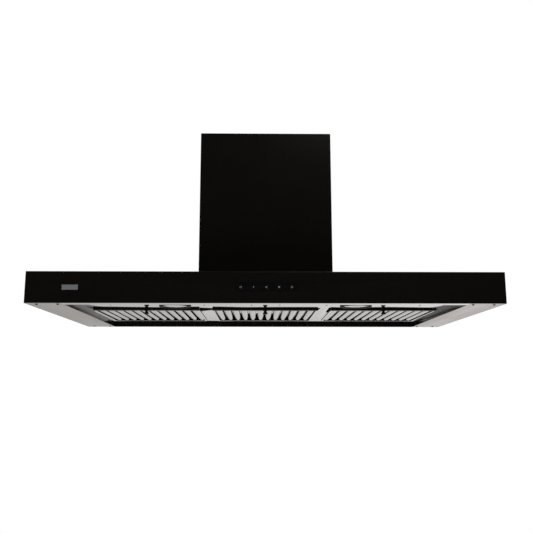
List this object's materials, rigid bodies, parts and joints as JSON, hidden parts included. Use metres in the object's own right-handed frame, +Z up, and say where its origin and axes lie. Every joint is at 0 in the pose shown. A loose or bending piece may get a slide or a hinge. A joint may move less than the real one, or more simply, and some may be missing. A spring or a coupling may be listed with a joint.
{
  "type": "island range hood",
  "caption": "Ceiling-hung kitchen range hood: flat black canopy with baffle filters, lamps and a touch strip under a square chimney that holds the blower.",
  "frame": {"origin": "centre of the ceiling plate's top face, midway between its four ceiling screws", "axes": "+Z up, +X to the right along the canopy, -Y towards the front with the touch strip"},
  "size_m": [1.2, 0.6508, 0.5018],
  "materials": {
    "black_enamel": "smooth satin-gloss black enamel on folded steel",
    "polished_steel": "bright annealed stainless sheet, nearly mirror",
    "brushed_steel": "stainless brushed front to back",
    "galvanised_steel": "galvanised sheet with faint spangle",
    "black_screw": "black oxide screws",
    "touch_black": "gloss black touch strip",
    "circuit_board": "green solder mask",
    "black_plastic": "moulded black plastic",
    "badge_metal": "brushed aluminium plate",
    "pale_plastic": "pale grey moulded plastic",
    "lead_sheath": "black sheathed lead",
    "motor_alloy": "die-cast aluminium",
    "shaft_steel": "bright zinc-plated or ground steel",
    "fan_plastic": "dark grey moulded fan wheel",
    "damper_plastic": "thin dark moulded flap",
    "lamp_trim": "dark satin trim ring",
    "lamp_lens": "frosted lens",
    "filter_steel": "stainless baffle filter",
    "knob_black": "smooth dark knob",
    "spring_steel": "spring leaf"
  },
  "bodies": {
    "ceiling_frame": {"ceiling_plate": "galvanised_steel", "upper_posts": "galvanised_steel", "upper_chimney": "black_enamel"},
    "canopy": {"canopy_shell": "black_enamel", "chimney_cover": "black_enamel", "chimney_rear_panel": "black_enamel", "liner": "polished_steel", "liner_rivets": "polished_steel", "side_cover_left": "brushed_steel", "side_cover_right": "brushed_steel", "side_cover_brackets": "galvanised_steel", "liner_stiffener": "galvanised_steel", "control_box": "galvanised_steel", "hanger_plate": "galvanised_steel", "blower_box": "galvanised_steel", "scroll_wrap": "galvanised_steel", "scroll_sides": "galvanised_steel", "motor_bracket": "galvanised_steel", "lower_posts": "galvanised_steel", "side_cover_screws": "black_screw", "chimney_screws": "black_screw", "touch_glass": "touch_black", "touch_bezel": "touch_black", "touch_board": "circuit_board", "control_board": "circuit_board", "touch_housing": "black_plastic", "cable_gland": "black_plastic", "outlet_adaptor": "black_plastic", "badge_plate": "badge_metal", "led_driver": "pale_plastic", "motor_capacitor": "pale_plastic", "wiring": "lead_sheath", "motor_body": "motor_alloy", "lamp_left_housing": "motor_alloy", "lamp_right_housing": "motor_alloy", "damper_pin": "shaft_steel", "frame_bolts": "shaft_steel", "lamp_left_bezel": "lamp_trim", "lamp_right_bezel": "lamp_trim", "lamp_left_lens": "lamp_lens", "lamp_right_lens": "lamp_lens"},
    "filter_left": {"filter_left_frame": "filter_steel", "filter_left_lower_baffles": "filter_steel", "filter_left_upper_baffles": "filter_steel", "filter_left_knob": "knob_black", "filter_left_clips": "spring_steel"},
    "filter_centre": {"filter_centre_frame": "filter_steel", "filter_centre_lower_baffles": "filter_steel", "filter_centre_upper_baffles": "filter_steel", "filter_centre_knob": "knob_black", "filter_centre_clips": "spring_steel"},
    "filter_right": {"filter_right_frame": "filter_steel", "filter_right_lower_baffles": "filter_steel", "filter_right_upper_baffles": "filter_steel", "filter_right_knob": "knob_black", "filter_right_clips": "spring_steel"},
    "damper_front": {"damper_flap_front": "damper_plastic"},
    "damper_rear": {"damper_flap_rear": "damper_plastic"},
    "fan_wheel": {"impeller": "fan_plastic", "motor_shaft": "shaft_steel"}
  },
  "joints": [
    {"name": "height_adjust", "type": "slide", "parent": "ceiling_frame", "child": "canopy", "axis": [0, 0, -1], "range_m": [0, 0.3]},
    {"name": "filter_left_tilt", "type": "hinge", "parent": "canopy", "child": "filter_left", "pos_m": [-0.338, 0.235, -0.485], "axis": [1, 0, 0], "range_deg": [0, 60], "deforming": ["filter_left_clips"]},
    {"name": "filter_centre_tilt", "type": "hinge", "parent": "canopy", "child": "filter_centre", "pos_m": [0, 0.235, -0.485], "axis": [1, 0, 0], "range_deg": [0, 60], "deforming": ["filter_centre_clips"]},
    {"name": "filter_right_tilt", "type": "hinge", "parent": "canopy", "child": "filter_right", "pos_m": [0.338, 0.235, -0.485], "axis": [1, 0, 0], "range_deg": [0, 60], "deforming": ["filter_right_clips"]},
    {"name": "damper_front_swing", "type": "hinge", "parent": "canopy", "child": "damper_front", "pos_m": [0, 0, -0.1458], "axis": [-1, 0, 0], "range_deg": [0, 75]},
    {"name": "damper_rear_swing", "type": "hinge", "parent": "canopy", "child": "damper_rear", "pos_m": [0, 0, -0.1458], "axis": [1, 0, 0], "range_deg": [0, 75]},
    {"name": "fan_spin", "type": "hinge", "parent": "canopy", "child": "fan_wheel", "pos_m": [0, -0.035, -0.308], "axis": [1, 0, 0], "continuous": true}
  ]
}
